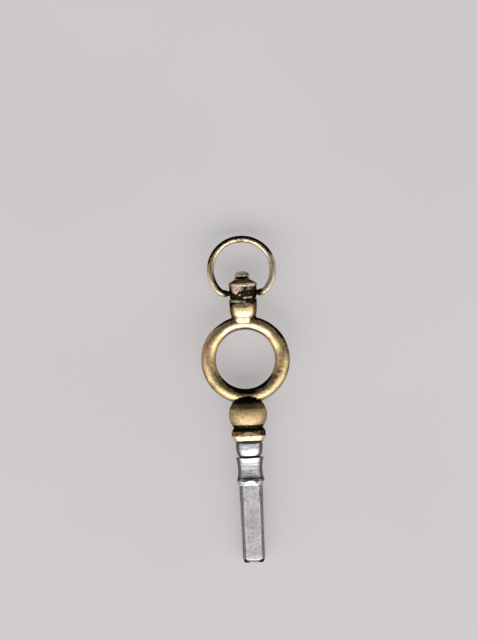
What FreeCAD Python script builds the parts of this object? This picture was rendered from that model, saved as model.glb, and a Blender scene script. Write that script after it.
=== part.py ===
import FreeCAD, Part
import math
import os
import Sketcher

# A pocket watch key, in millimetres.
# The origin is the centre of the winding pipe's mouth. +Y runs along the key towards the pendant ring,
# +X lies across the finger ring, and +Z stands up from the flat side that the key lies on.

# Every size that can be set by itself: its name, its value and what it is.
SIZES = [
    # Winding pipe, from the mouth up
    ("socket_side", 1.30, "width of the square socket across its flats"),
    ("socket_depth", 5.00, "depth of the square"),
    ("pilot_width", 1.34, "hole drilled ahead of the square"),
    ("pilot_depth", 6.20, "depth of the drilled hole to its shoulder"),
    ("drill_point", 0.38, "cone left by the drill"),
    ("lead_in_width", 1.86, "width of the cone that guides the key onto its square"),
    ("lead_in_depth", 0.26, "depth of that cone"),
    ("tip_flats", 2.84, "across the flats at the mouth end"),
    ("tip_corners", 3.38, "across the rounded corners at the mouth end"),
    ("root_flats", 3.06, "across the flats where they run out"),
    ("root_corners", 3.54, "across the rounded corners where the flats run out"),
    ("mouth_bevel", 0.24, "how far the filed bevel round the mouth comes in"),
    ("mouth_bevel_height", 0.55, "how far that bevel reaches up the blade"),
    ("squared_length", 9.85, "mouth to the end of the flats"),
    ("shoulder_rise", 0.32, "how far the end of a flat climbs out of the steel"),
    ("shoulder_length", 0.62, "length of that climb"),
    ("ridge_gap", 0.20, "end of the flats to the foot of the ridge"),
    ("ridge_height", 0.60, "height of the turned ridge"),
    ("ridge_top_width", 3.36, "width where the ridge meets the cove"),
    ("ridge_round", 0.80, "radius of the ridge's crown"),
    ("cove_length", 2.35, "length of the long hollow above the ridge"),
    ("cove_round", 4.50, "radius of the hollow"),
    ("lip_width", 3.48, "width of the lip above the hollow"),
    ("lip_top_width", 3.32, "width of the lip at its top edge"),
    ("lip_height", 0.34, "height of the lip"),
    ("lip_round", 0.40, "radius of the lip's crown"),
    ("groove_width", 2.67, "width of the steel inside the groove"),
    ("groove_height", 0.24, "height of the groove"),
    ("drum_foot_width", 2.98, "width of the drum at the groove"),
    ("drum_width", 3.38, "width of the drum"),
    ("drum_top_width", 3.00, "width of the drum where it meets the collar"),
    ("drum_height", 1.82, "height of the drum"),
    ("drum_swell", 0.74, "height over which the drum swells from the groove"),
    ("drum_swell_round", 1.30, "radius of that swell"),
    ("drum_shoulder", 0.44, "height of the drum's rounded top"),
    ("drum_shoulder_round", 0.50, "radius of the rounded top"),
    ("tang_width", 1.80, "width of the tang inside the knop"),
    ("tang_length", 3.00, "length of the tang"),
    ("tang_gap", 0.20, "space left past the tang's end"),
    # Knop: the flared collar and the ball over it
    ("foot_flats", 3.62, "across the flats at the collar's foot"),
    ("collar_flats", 4.34, "across the collar's four flats"),
    ("collar_corners", 5.40, "across the collar's rounded corners"),
    ("collar_foot_corners", 4.60, "across the corners at the foot"),
    ("bevel_height", 0.68, "height of the bevel under the flats"),
    ("rim_height", 0.86, "foot to the rim where the flare begins"),
    ("flare_height", 0.94, "rim to the waist under the ball"),
    ("flare_round", 2.00, "radius of the hollow flare"),
    ("waist_width", 3.68, "width of the waist under the ball"),
    ("ball_width", 4.88, "width of the ball"),
    ("ball_saddle", 1.08, "how far the ball's crown reaches into the finger ring"),
    # Finger ring
    ("ring_inside", 7.48, "opening of the finger ring"),
    ("ring_section", 1.90, "thickness of the finger ring"),
    # Neck over the finger ring
    ("neck_saddle", 0.55, "how far the neck reaches down over the ring's crown"),
    ("neck_foot_width", 2.16, "width of the neck at its foot"),
    ("neck_foot_height", 0.76, "height of the rounded foot"),
    ("neck_foot_round", 0.86, "radius of the rounded foot"),
    ("neck_width", 3.40, "width of the neck over its foot"),
    ("neck_top_width", 3.52, "width of the neck's top"),
    ("neck_round", 5.00, "radius of the neck's slow swell"),
    ("neck_length", 2.19, "height of the neck"),
    # Swivel: a pin fixed in the neck, and a barrel that turns on it
    ("washer_width", 3.56, "width of the washer under the barrel"),
    ("washer_thickness", 0.36, "thickness of that washer"),
    ("washer_edge", 0.08, "rounding of the washers' edges"),
    ("shank_width", 1.00, "width of the pin's shank"),
    ("shank_tail", 1.30, "length of shank held in the neck"),
    ("shank_gap", 0.05, "space left past the end of the shank"),
    ("shank_play", 0.05, "clearance round the shank in the barrel and washers, on the radius"),
    ("end_play", 0.05, "clearance above and below the barrel"),
    ("barrel_foot_width", 3.34, "width of the barrel's foot"),
    ("barrel_width", 3.74, "width of the barrel's side"),
    ("barrel_skirt", 0.86, "height over which the foot widens to the side"),
    ("barrel_side", 0.82, "height of the straight side"),
    ("barrel_rim_width", 3.84, "width of the rim round the barrel's top"),
    ("barrel_rim", 0.26, "height of the rim"),
    ("cone_foot_width", 3.56, "width of the cone where it leaves the rim"),
    ("cone_foot", 0.08, "height of the rim's top edge"),
    ("cone_height", 0.46, "height of the cone"),
    ("cone_top_width", 2.00, "width of the cone's flat top"),
    ("rivet_washer_width", 1.90, "width of the washer under the button"),
    ("rivet_washer_thickness", 0.18, "thickness of that washer"),
    ("button_foot_width", 1.26, "width of the button's foot"),
    ("button_width", 1.88, "width of the button"),
    ("button_bevel", 0.20, "height of the bevel under the button"),
    ("button_side", 0.10, "height of the button's side"),
    ("button_dome", 0.46, "height of the button's dome"),
    ("button_top_width", 0.50, "width of the worn flat on the dome"),
    ("button_round", 0.72, "radius of the dome"),
    # Pendant ring
    ("pivot_height", 0.76, "foot of the barrel to the ring's pivot"),
    ("pivot_width", 0.68, "width of the ring's turned ends"),
    ("pivot_play", 0.05, "clearance round the turned ends, on the radius"),
    ("pivot_end_play", 0.08, "clearance past the turned ends"),
    ("pivot_wall", 0.45, "metal left between the running bore and the blind cross holes"),
    ("wire_width", 0.88, "thickness of the pendant ring's wire"),
    ("wire_gap", 0.08, "clearance between the barrel's rim and the wire's shoulder"),
    ("wire_straight", 0.10, "straight wire before each bend"),
    ("bend_radius", 1.25, "radius of the bend at each end of the ring"),
    ("pendant_width", 8.82, "outside width of the pendant ring"),
    ("pendant_droop", 11.00, "degrees that the ring hangs below the key's axis when it lies down"),
]

doc = FreeCAD.newDocument("pocket_watch_key")
sheet = doc.addObject("Spreadsheet::Sheet", "Sizes")
for row, (name, number, meaning) in enumerate(SIZES, start=1):
    sheet.set(f"A{row}", name)
    sheet.set(f"B{row}", str(number))
    sheet.set(f"C{row}", meaning)
    sheet.setAlias(f"B{row}", name)
doc.recompute()


def total(*terms):
    """Expression for a sum of named sizes and of sums written before."""
    return " + ".join(term if "Sizes." in term else f"Sizes.{term}" for term in terms)


def half(name):
    """Expression for half of a named size."""
    return f"Sizes.{name} / 2"


def value(expression):
    """What an expression gives now, in millimetres or degrees."""
    return float(sheet.evalExpression(expression))


# Stations along the key's axis, each from the sizes below it
RIDGE_FOOT = total("squared_length", "ridge_gap")
COVE_FOOT = total(RIDGE_FOOT, "ridge_height")
LIP_FOOT = total(COVE_FOOT, "cove_length")
GROOVE_FOOT = total(LIP_FOOT, "lip_height")
DRUM_FOOT = total(GROOVE_FOOT, "groove_height")
KNOP_FOOT = total(DRUM_FOOT, "drum_height")
WAIST = total(KNOP_FOOT, "rim_height", "flare_height")
BALL_CENTRE = f"{WAIST} + sqrt(({half('ball_width')}) ^ 2 - ({half('waist_width')}) ^ 2)"
BALL_TOP = f"{BALL_CENTRE} + {half('ball_width')}"
RING_REACH = f"{half('ring_inside')} + {half('ring_section')}"
RING_CENTRE = f"{BALL_TOP} - Sizes.ball_saddle + {RING_REACH} + {half('ring_section')}"
RING_TOP = f"{RING_CENTRE} + {RING_REACH} + {half('ring_section')}"
NECK_FOOT = f"{RING_TOP} - Sizes.neck_saddle"
NECK_TOP = total(NECK_FOOT, "neck_length")
WASHER_TOP = total(NECK_TOP, "washer_thickness")
BARREL_FOOT = total(WASHER_TOP, "end_play")
PIVOT = total(BARREL_FOOT, "pivot_height")
BARREL_RIM_FOOT = total(BARREL_FOOT, "barrel_skirt", "barrel_side")
BARREL_RIM_TOP = total(BARREL_RIM_FOOT, "barrel_rim")
BARREL_TOP = total(BARREL_RIM_TOP, "cone_foot", "cone_height")
RIVET_WASHER_FOOT = total(BARREL_TOP, "end_play")
BUTTON_FOOT = total(RIVET_WASHER_FOOT, "rivet_washer_thickness")
BUTTON_SIDE = total(BUTTON_FOOT, "button_bevel")
BUTTON_DOME = total(BUTTON_SIDE, "button_side")
BUTTON_TOP = total(BUTTON_DOME, "button_dome")

RUNNING_BORE = f"{half('shank_width')} + Sizes.shank_play"
CROSS_HOLE_FLOOR = f"{RUNNING_BORE} + Sizes.pivot_wall"
PIVOT_END = f"{CROSS_HOLE_FLOOR} + Sizes.pivot_end_play"
WIRE_SHOULDER = f"{half('barrel_rim_width')} + Sizes.wire_gap"


def new_body(name):
    """One piece of the key. Its label is the name of its file."""
    body = doc.addObject("PartDesign::Body", name)
    body.Label = name
    return body


def origin_part(body, role):
    """A plane or an axis of the piece's own origin."""
    return next(part for part in body.Origin.OriginFeatures if part.Role == role)


def new_sketch(body, name, plane, offset=None):
    """An empty sketch on one of the piece's own planes, or at an offset along that plane's normal."""
    sketch = body.newObject("Sketcher::SketchObject", name)
    sketch.AttachmentSupport = (origin_part(body, plane), "")
    sketch.MapMode = "FlatFace"
    if offset:
        sketch.AttachmentOffset = FreeCAD.Placement(FreeCAD.Vector(0, 0, value(offset)), FreeCAD.Rotation())
        sketch.setExpression(".AttachmentOffset.Base.z", offset)
    return sketch


def bind(sketch, name, constraint, expression):
    """Adds a constraint under a name and ties its number to an expression."""
    index = sketch.addConstraint(constraint)
    sketch.renameConstraint(index, name)
    sketch.setExpression(f"Constraints.{name}", expression)


def pin_point(sketch, name, edge, end, across, along):
    """Holds the end of an edge at a place that is given by two expressions."""
    for kind, axis, expression in (("DistanceX", -2, across), ("DistanceY", -1, along)):
        number = value(expression)
        if expression == "0":
            sketch.addConstraint(Sketcher.Constraint("PointOnObject", edge, end, axis))
        elif number > 0:
            bind(sketch, f"{name}_{kind}", Sketcher.Constraint(kind, -1, 1, edge, end, number), expression)
        else:
            flipped = Sketcher.Constraint(kind, edge, end, -1, 1, -number)
            bind(sketch, f"{name}_{kind}", flipped, f"-({expression})")


def arc_between(first, last, radius, bulge):
    """The shorter arc between two points. Going from first to last, it bulges to the right or to the left."""
    side = 1 if bulge == "right" else -1
    chord = last - first
    left = FreeCAD.Vector(-chord.y, chord.x, 0).normalize()
    height = math.sqrt(radius ** 2 - (chord.Length / 2) ** 2)
    centre = (first + last) / 2 + left * height * side
    start, stop = (first, last) if bulge == "right" else (last, first)
    angles = [math.atan2(point.y - centre.y, point.x - centre.x) for point in (start, stop)]
    if angles[1] < angles[0]:
        angles[1] += 2 * math.pi
    return Part.ArcOfCircle(Part.Circle(centre, FreeCAD.Vector(0, 0, 1), radius), *angles)


def outline(body, name, plane, corners):
    """A closed sketch through corners that are all tied to sizes.

    A corner is (across, along), or (across, along, radius, bulge) where an arc leads to it from the last one.
    """
    sketch = new_sketch(body, name, plane)
    points = [FreeCAD.Vector(value(corner[0]), value(corner[1]), 0) for corner in corners]
    ends = []
    for index, corner in enumerate(corners):
        first, last = points[index - 1], points[index]
        if len(corner) == 2:
            sketch.addGeometry(Part.LineSegment(first, last), False)
            ends.append((1, 2))
        else:
            sketch.addGeometry(arc_between(first, last, value(corner[2]), corner[3]), False)
            ends.append((1, 2) if corner[3] == "right" else (2, 1))
    for index, corner in enumerate(corners):
        following = (index + 1) % len(corners)
        joint = Sketcher.Constraint("Coincident", index, ends[index][1], following, ends[following][0])
        sketch.addConstraint(joint)
        pin_point(sketch, f"corner{index}", index, ends[index][1], corner[0], corner[1])
        if len(corner) == 4:
            radius = Sketcher.Constraint("Radius", index, value(corner[2]))
            bind(sketch, f"radius{index}", radius, corner[2])
    return sketch


def disc(body, name, plane, across, along, radius, offset=None):
    """A sketch of one circle."""
    sketch = new_sketch(body, name, plane, offset)
    centre = FreeCAD.Vector(value(across), value(along), 0)
    sketch.addGeometry(Part.Circle(centre, FreeCAD.Vector(0, 0, 1), value(radius)), False)
    pin_point(sketch, "centre", 0, 3, across, along)
    bind(sketch, "radius", Sketcher.Constraint("Radius", 0, value(radius)), radius)
    return sketch


def ring_section(body, name):
    """The finger ring's round section beside the line that it is swept round."""
    sketch = disc(body, name, "YZ_Plane", f"{RING_CENTRE} - ({RING_REACH})", "0", half("ring_section"))
    foot = FreeCAD.Vector(value(RING_CENTRE), 0, 0)
    head = foot + FreeCAD.Vector(0, value(half("ring_section")), 0)
    sketch.addGeometry(Part.LineSegment(foot, head), True)
    pin_point(sketch, "axis_foot", 1, 1, RING_CENTRE, "0")
    pin_point(sketch, "axis_head", 1, 2, RING_CENTRE, half("ring_section"))
    return sketch


def turn(body, kind, name, sketch, axis="V_Axis"):
    """A full turn of a sketch, as a Revolution or a Groove."""
    feature = body.newObject(f"PartDesign::{kind}", name)
    feature.Profile = sketch
    feature.ReferenceAxis = (sketch, [axis])
    feature.Angle = 360
    return feature


def round_about_key(body, feature, name, count):
    """Repeats a feature evenly round the key's axis."""
    pattern = body.newObject("PartDesign::PolarPattern", name)
    pattern.Originals = [feature]
    pattern.Axis = (origin_part(body, "Y_Axis"), [""])
    pattern.Angle = 360
    pattern.Occurrences = count
    body.Tip = pattern
    return pattern


def file_four_flats(body, name, corners):
    """Cuts what lies outside a side view, and repeats the cut on all four sides."""
    feature = body.newObject("PartDesign::Pocket", name)
    feature.Profile = outline(body, f"{name}_side", "YZ_Plane", corners)
    feature.Type = "ThroughAll"
    feature.SideType = "Symmetric"
    round_about_key(body, feature, f"{name}_all_round", 4)


def make_pipe():
    """Steel winding pipe: turned all over, filed to four flats, drilled and broached square."""
    body = new_body("pipe")
    turned = outline(body, "turned_outline", "XY_Plane", [
        ("0", "0"),
        (f"{half('tip_corners')} - Sizes.mouth_bevel", "0"),
        (half("tip_corners"), "Sizes.mouth_bevel_height"),
        (half("root_corners"), RIDGE_FOOT),
        (half("ridge_top_width"), COVE_FOOT, "Sizes.ridge_round", "right"),
        (half("lip_width"), LIP_FOOT, "Sizes.cove_round", "left"),
        (half("lip_top_width"), GROOVE_FOOT, "Sizes.lip_round", "right"),
        (half("groove_width"), GROOVE_FOOT),
        (half("groove_width"), DRUM_FOOT),
        (half("drum_foot_width"), DRUM_FOOT),
        (half("drum_width"), total(DRUM_FOOT, "drum_swell"), "Sizes.drum_swell_round", "right"),
        (half("drum_width"), f"{KNOP_FOOT} - Sizes.drum_shoulder"),
        (half("drum_top_width"), KNOP_FOOT, "Sizes.drum_shoulder_round", "right"),
        (half("tang_width"), KNOP_FOOT),
        (half("tang_width"), total(KNOP_FOOT, "tang_length")),
        ("0", total(KNOP_FOOT, "tang_length")),
    ])
    turn(body, "Revolution", "turned", turned)
    shoulder = total("squared_length", "shoulder_length")
    file_four_flats(body, "flats", [
        ("0", f"{half('tip_flats')} - Sizes.mouth_bevel"),
        ("Sizes.mouth_bevel_height", half("tip_flats")),
        ("Sizes.squared_length", half("root_flats")),
        (shoulder, f"{half('root_flats')} + Sizes.shoulder_rise"),
        (shoulder, "Sizes.root_corners"),
        ("0", "Sizes.root_corners"),
    ])
    drilled = outline(body, "drilled_outline", "XY_Plane", [
        ("0", "0"),
        (half("lead_in_width"), "0"),
        (half("pilot_width"), "Sizes.lead_in_depth"),
        (half("pilot_width"), "Sizes.pilot_depth"),
        ("0", total("pilot_depth", "drill_point")),
    ])
    turn(body, "Groove", "drilled", drilled)
    square = outline(body, "socket_outline", "XZ_Plane", [
        (half("socket_side"), half("socket_side")),
        (f"-{half('socket_side')}", half("socket_side")),
        (f"-{half('socket_side')}", f"-{half('socket_side')}"),
        (half("socket_side"), f"-{half('socket_side')}"),
    ])
    socket = body.newObject("PartDesign::Pocket", "socket")
    socket.Profile = square
    socket.setExpression("Length", "Sizes.socket_depth")
    return body


def make_knop():
    """Brass knop: a ball over a flared collar, with four flats, fitted over the pipe's tang."""
    body = new_body("knop")
    turned = outline(body, "turned_outline", "XY_Plane", [
        ("0", KNOP_FOOT),
        (half("collar_foot_corners"), KNOP_FOOT),
        (half("collar_corners"), total(KNOP_FOOT, "bevel_height")),
        (half("collar_corners"), total(KNOP_FOOT, "rim_height")),
        (half("waist_width"), WAIST, "Sizes.flare_round", "left"),
        (half("ball_width"), BALL_CENTRE, half("ball_width"), "right"),
        ("0", BALL_TOP, half("ball_width"), "right"),
    ])
    turn(body, "Revolution", "turned", turned)
    file_four_flats(body, "flats", [
        (KNOP_FOOT, half("foot_flats")),
        (total(KNOP_FOOT, "bevel_height"), half("collar_flats")),
        (WAIST, half("collar_flats")),
        (WAIST, "Sizes.collar_corners"),
        (KNOP_FOOT, "Sizes.collar_corners"),
    ])
    turn(body, "Groove", "saddle", ring_section(body, "saddle_section"), "Axis0")
    bore = outline(body, "tang_bore_outline", "XY_Plane", [
        ("0", KNOP_FOOT),
        (half("tang_width"), KNOP_FOOT),
        (half("tang_width"), total(KNOP_FOOT, "tang_length", "tang_gap")),
        ("0", total(KNOP_FOOT, "tang_length", "tang_gap")),
    ])
    turn(body, "Groove", "tang_bore", bore)
    return body


def make_finger_ring():
    """Brass ring of round section, held between finger and thumb."""
    body = new_body("finger_ring")
    turn(body, "Revolution", "ring", ring_section(body, "section"), "Axis0")
    return body


def make_neck():
    """Brass neck: a small vase that sits astride the finger ring and holds the swivel's pin."""
    body = new_body("neck")
    turned = outline(body, "turned_outline", "XY_Plane", [
        ("0", NECK_FOOT),
        (half("neck_foot_width"), NECK_FOOT),
        (half("neck_width"), total(NECK_FOOT, "neck_foot_height"), "Sizes.neck_foot_round", "right"),
        (half("neck_top_width"), NECK_TOP, "Sizes.neck_round", "right"),
        ("0", NECK_TOP),
    ])
    turn(body, "Revolution", "turned", turned)
    turn(body, "Groove", "saddle", ring_section(body, "saddle_section"), "Axis0")
    bore_floor = f"{NECK_TOP} - Sizes.shank_tail - Sizes.shank_gap"
    bore = outline(body, "shank_bore_outline", "XY_Plane", [
        ("0", bore_floor),
        (half("shank_width"), bore_floor),
        (half("shank_width"), NECK_TOP),
        ("0", NECK_TOP),
    ])
    turn(body, "Groove", "shank_bore", bore)
    return body


def make_washer(name, foot, thickness, width):
    """A flat washer with broken edges, loose on the pin's shank."""
    body = new_body(name)
    top = total(foot, thickness)
    edge = f"{half(width)} - Sizes.washer_edge"
    turned = outline(body, "turned_outline", "XY_Plane", [
        (RUNNING_BORE, foot),
        (edge, foot),
        (half(width), total(foot, "washer_edge"), "Sizes.washer_edge", "right"),
        (half(width), f"{top} - Sizes.washer_edge"),
        (edge, top, "Sizes.washer_edge", "right"),
        (RUNNING_BORE, top),
    ])
    turn(body, "Revolution", "turned", turned)
    return body


def make_swivel_barrel():
    """Brass barrel that turns on the pin, with a blind cross hole each side for the pendant ring."""
    body = new_body("swivel_barrel")
    turned = outline(body, "turned_outline", "XY_Plane", [
        (RUNNING_BORE, BARREL_FOOT),
        (half("barrel_foot_width"), BARREL_FOOT),
        (half("barrel_width"), total(BARREL_FOOT, "barrel_skirt")),
        (half("barrel_width"), BARREL_RIM_FOOT),
        (half("barrel_rim_width"), BARREL_RIM_FOOT),
        (half("barrel_rim_width"), BARREL_RIM_TOP),
        (half("cone_foot_width"), total(BARREL_RIM_TOP, "cone_foot")),
        (half("cone_top_width"), BARREL_TOP),
        (RUNNING_BORE, BARREL_TOP),
    ])
    turn(body, "Revolution", "turned", turned)
    hole_radius = f"{half('pivot_width')} + Sizes.pivot_play"
    hole = body.newObject("PartDesign::Pocket", "cross_hole")
    hole.Profile = disc(body, "cross_hole_outline", "YZ_Plane", PIVOT, "0", hole_radius, CROSS_HOLE_FLOOR)
    hole.Type = "ThroughAll"
    hole.Reversed = True
    round_about_key(body, hole, "cross_holes", 2)
    return body


def make_swivel_pin():
    """Brass pin, pressed into the neck, whose button head keeps the barrel on."""
    body = new_body("swivel_pin")
    shank_end = f"{NECK_TOP} - Sizes.shank_tail"
    turned = outline(body, "turned_outline", "XY_Plane", [
        ("0", shank_end),
        (half("shank_width"), shank_end),
        (half("shank_width"), BUTTON_FOOT),
        (half("button_foot_width"), BUTTON_FOOT),
        (half("button_width"), BUTTON_SIDE),
        (half("button_width"), BUTTON_DOME),
        (half("button_top_width"), BUTTON_TOP, "Sizes.button_round", "right"),
        ("0", BUTTON_TOP),
    ])
    turn(body, "Revolution", "turned", turned)
    return body


def pendant_path(body):
    """The pendant wire's centre line: a near circle whose ends bend in to the pivot line.

    The middle of the pivot line is this sketch's origin. The circle's own centre follows from the bends.
    """
    reach = value(f"{half('pendant_width')} - {half('wire_width')}")
    bend = value("Sizes.bend_radius")
    bend_start = value(f"{WIRE_SHOULDER} + Sizes.wire_straight")
    rise = bend + math.sqrt((reach - bend) ** 2 - bend_start ** 2)
    up = FreeCAD.Vector(0, 0, 1)
    meeting = math.atan2(bend - rise, bend_start)
    sketch = new_sketch(body, "wire_path", "XY_Plane")
    sketch.addGeometry([
        Part.LineSegment(FreeCAD.Vector(value(WIRE_SHOULDER), 0, 0), FreeCAD.Vector(bend_start, 0, 0)),
        Part.ArcOfCircle(Part.Circle(FreeCAD.Vector(bend_start, bend, 0), up, bend), -math.pi / 2, meeting),
        Part.ArcOfCircle(Part.Circle(FreeCAD.Vector(0, rise, 0), up, reach), meeting, math.pi - meeting),
        Part.ArcOfCircle(Part.Circle(FreeCAD.Vector(-bend_start, bend, 0), up, bend),
                         math.pi - meeting, 1.5 * math.pi),
        Part.LineSegment(FreeCAD.Vector(-bend_start, 0, 0), FreeCAD.Vector(-value(WIRE_SHOULDER), 0, 0)),
    ], False)
    pin_point(sketch, "right_shoulder", 0, 1, WIRE_SHOULDER, "0")
    pin_point(sketch, "right_bend", 0, 2, f"{WIRE_SHOULDER} + Sizes.wire_straight", "0")
    pin_point(sketch, "left_bend", 4, 1, f"-({WIRE_SHOULDER} + Sizes.wire_straight)", "0")
    pin_point(sketch, "left_shoulder", 4, 2, f"-({WIRE_SHOULDER})", "0")
    for edge in range(4):
        sketch.addConstraint(Sketcher.Constraint("Tangent", edge, 2, edge + 1, 1))
    sketch.addConstraint(Sketcher.Constraint("PointOnObject", 2, 3, -2))
    bind(sketch, "bend", Sketcher.Constraint("Radius", 1, bend), "Sizes.bend_radius")
    bind(sketch, "reach", Sketcher.Constraint("Radius", 2, reach),
         f"{half('pendant_width')} - {half('wire_width')}")
    return sketch


def make_pendant_ring():
    """Brass wire ring whose turned ends swing in the barrel's cross holes."""
    body = new_body("pendant_ring")
    path = pendant_path(body)
    section = disc(body, "wire_section", "YZ_Plane", "0", "0", half("wire_width"), WIRE_SHOULDER)
    wire = body.newObject("PartDesign::AdditivePipe", "wire")
    wire.Profile = section
    wire.Spine = (path, ["Edge1", "Edge2", "Edge3", "Edge4", "Edge5"])
    for side, name in ((1, "right"), (-1, "left")):
        end_face = disc(body, f"{name}_pivot_outline", "YZ_Plane", "0", "0", half("pivot_width"),
                        WIRE_SHOULDER if side == 1 else f"-({WIRE_SHOULDER})")
        pivot = body.newObject("PartDesign::Pad", f"{name}_pivot")
        pivot.Profile = end_face
        pivot.Reversed = side == 1
        pivot.setExpression("Length", f"{WIRE_SHOULDER} - ({PIVOT_END})")
    body.Placement = FreeCAD.Placement(
        FreeCAD.Vector(0, value(PIVOT), 0),
        FreeCAD.Rotation(FreeCAD.Vector(1, 0, 0), -value("Sizes.pendant_droop")))
    body.setExpression(".Placement.Base.y", PIVOT)
    body.setExpression(".Placement.Rotation.Angle", "-Sizes.pendant_droop")
    return body


PIECES = [
    make_pipe(),
    make_knop(),
    make_finger_ring(),
    make_neck(),
    make_washer("swivel_washer", NECK_TOP, "washer_thickness", "washer_width"),
    make_swivel_barrel(),
    make_washer("rivet_washer", RIVET_WASHER_FOOT, "rivet_washer_thickness", "rivet_washer_width"),
    make_swivel_pin(),
    make_pendant_ring(),
]
doc.recompute()

for thing in doc.Objects:
    if {"Invalid", "Error"} & set(thing.State):
        raise RuntimeError(f"{thing.Label} could not be made: {thing.State}")
for piece in PIECES:
    if piece.Shape.isNull() or not piece.Shape.isValid() or len(piece.Shape.Solids) != 1:
        raise RuntimeError(f"{piece.Label} is not one sound solid")

os.makedirs("parts", exist_ok=True)
for piece in PIECES:
    piece.Shape.exportStep(f"parts/{piece.Label}.step")
    box = piece.Shape.optimalBoundingBox(False)
    print(f"{piece.Label}: {piece.Shape.Volume:.3f} mm3, "
          f"x {box.XMin:.2f} to {box.XMax:.2f}, y {box.YMin:.2f} to {box.YMax:.2f}, "
          f"z {box.ZMin:.2f} to {box.ZMax:.2f}")
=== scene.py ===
import math

import bpy
import numpy as np
from mathutils import Matrix, Vector


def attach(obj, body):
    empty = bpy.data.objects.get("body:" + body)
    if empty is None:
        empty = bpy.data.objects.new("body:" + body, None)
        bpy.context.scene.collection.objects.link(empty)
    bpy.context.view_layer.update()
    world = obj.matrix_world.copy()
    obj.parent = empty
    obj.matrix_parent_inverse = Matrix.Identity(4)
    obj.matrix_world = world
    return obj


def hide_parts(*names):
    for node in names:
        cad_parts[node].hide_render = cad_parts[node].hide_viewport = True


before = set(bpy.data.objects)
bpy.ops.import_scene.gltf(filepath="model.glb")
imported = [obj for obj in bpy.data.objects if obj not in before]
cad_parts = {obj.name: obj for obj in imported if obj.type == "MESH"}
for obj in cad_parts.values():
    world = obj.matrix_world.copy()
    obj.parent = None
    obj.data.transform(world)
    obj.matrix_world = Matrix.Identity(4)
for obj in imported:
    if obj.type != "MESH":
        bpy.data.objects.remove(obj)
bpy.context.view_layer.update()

# The looks of a pocket watch key. Sizes are in millimetres in the part's own frame: +Y runs along the key
# from the winding pipe's mouth, +X lies across the finger ring, and +Z is the side that the camera sees.
MM = 0.001

# Stations along the key
COUNTERSINK_END = 0.26
BEVEL_END = 0.55
SOCKET_END = 5.0
DRILL_END = 6.20
DRILL_TIP = 6.58
FLATS_END = 9.80
RIDGE_FOOT = 10.05
COVE_FOOT = 10.65
LIP_EDGE = 13.26
GROOVE_FOOT = 13.34
DRUM_FOOT = 13.58
DRUM_MIDDLE = 14.70
DRUM_SHOULDER = 14.96
KNOP_FOOT = 15.40
COLLAR_FOOT = 16.08
COLLAR_TOP = 16.26
WAIST = 17.20
TANG_END = 18.40
TANG_BORE_END = 18.60
BALL_CENTRE = 18.8025
RING_CENTRE = 25.8025
NECK_FOOT = 30.8925
NECK_FLARE = 31.50
PIN_BORE_END = 31.73
PIN_END = 31.78
NECK_BODY = 32.25
NECK_TOP = 33.0825
WASHER_TOP = 33.4425
BARREL_FOOT = 33.4925
PIVOT = 34.2525
RIM_FOOT = 35.1725
RIM_TOP = 35.4325
CONE_FOOT = 35.5125
BARREL_TOP = 35.9725
RIVET_WASHER_FOOT = 36.0225
BUTTON_FOOT = 36.2025
BUTTON_TOP = 36.9625

# Radii and reaches from the axis. RING_REACH goes to the middle of the finger ring's section.
SQUARE_REACH = 0.65
SQUARE_CORNER = 0.905
DRILL_RADIUS = 0.67
MOUTH_RADIUS = 0.93
GROOVE_RADIUS = 1.335
DRUM_RADIUS = 1.69
TANG_RADIUS = 0.895
TANG_BORE_RADIUS = 0.90
COLLAR_REACH = 2.17
COLLAR_RADIUS = 2.70
BALL_RADIUS = 2.44
RING_REACH = 4.69
RING_RADIUS = 0.95
NECK_FOOT_RADIUS = 1.08
NECK_FLARE_RADIUS = 1.60
NECK_BODY_RADIUS = 1.73
NECK_FOOT_ARC = 1.05
NECK_FLARE_ARC = 2.60
PIN_RADIUS = 0.498
PIN_BORE_RADIUS = 0.505
RUNNING_BORE = 0.55
BARREL_RADIUS = 1.87
RIM_RADIUS = 1.92
CROSS_HOLE_RADIUS = 0.39
BUTTON_RADIUS = 0.94
WIRE_END_RADIUS = 0.34
WIRE_RADIUS = 0.44
RING_DROOP = math.radians(11)


# Small tools


def unit(vectors):
    return vectors / np.maximum(np.linalg.norm(vectors, axis=-1), 1e-12)[..., None]


def field(points, size, seed, waves=26):
    """A smooth random field over points, about -1 to 1, whose lumps are about size wide."""
    rng = np.random.default_rng(seed)
    heading = unit(rng.normal(size=(waves, 3)))
    heading *= (math.pi / size * rng.uniform(0.6, 1.5, waves))[:, None]
    phase = rng.uniform(0, 2 * math.pi, waves)
    return np.sin(points @ heading.T + phase).sum(axis=-1) / math.sqrt(waves)


def lumps(points, broad, broad_size, fine, fine_size, seed):
    """Depth of broad and fine lumps on a surface, each from 0 to about twice its number."""
    return broad * (1 + field(points, broad_size, seed)) + fine * (1 + field(points, fine_size, seed + 1))


def dents(points, count, size, depth, seed):
    """Depth of small knocks, set at random over a surface."""
    rng = np.random.default_rng(seed)
    flat = points.reshape(-1, 3)
    sunk = np.zeros(len(flat))
    for index in rng.integers(0, len(flat), count):
        width = size * rng.uniform(0.5, 1.4)
        away = np.linalg.norm(flat - flat[index], axis=1) / width
        sunk = np.maximum(sunk, depth * rng.uniform(0.4, 1.0) * np.exp(-away ** 2))
    return sunk.reshape(points.shape[:-1])


def near(points, *places):
    """How near points are to places (x, y, z, size): 1 at a place and 0 away from it."""
    return sum(np.exp(-(((points - place[:3]) / place[3]) ** 2).sum(axis=-1)) for place in places)


def ramp(values, low, high):
    """Goes smoothly from 0 to 1 while values go from low to high."""
    share = np.clip((values - low) / (high - low), 0, 1)
    return share * share * (3 - 2 * share)


def between(values, start, full, fading, end):
    """Rises from 0 to 1 between start and full, and falls to 0 again between fading and end."""
    return ramp(values, start, full) * ramp(values, end, fading)


def largest(*fields):
    """The largest of several fields at each place."""
    return np.maximum.reduce(fields)


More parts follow.
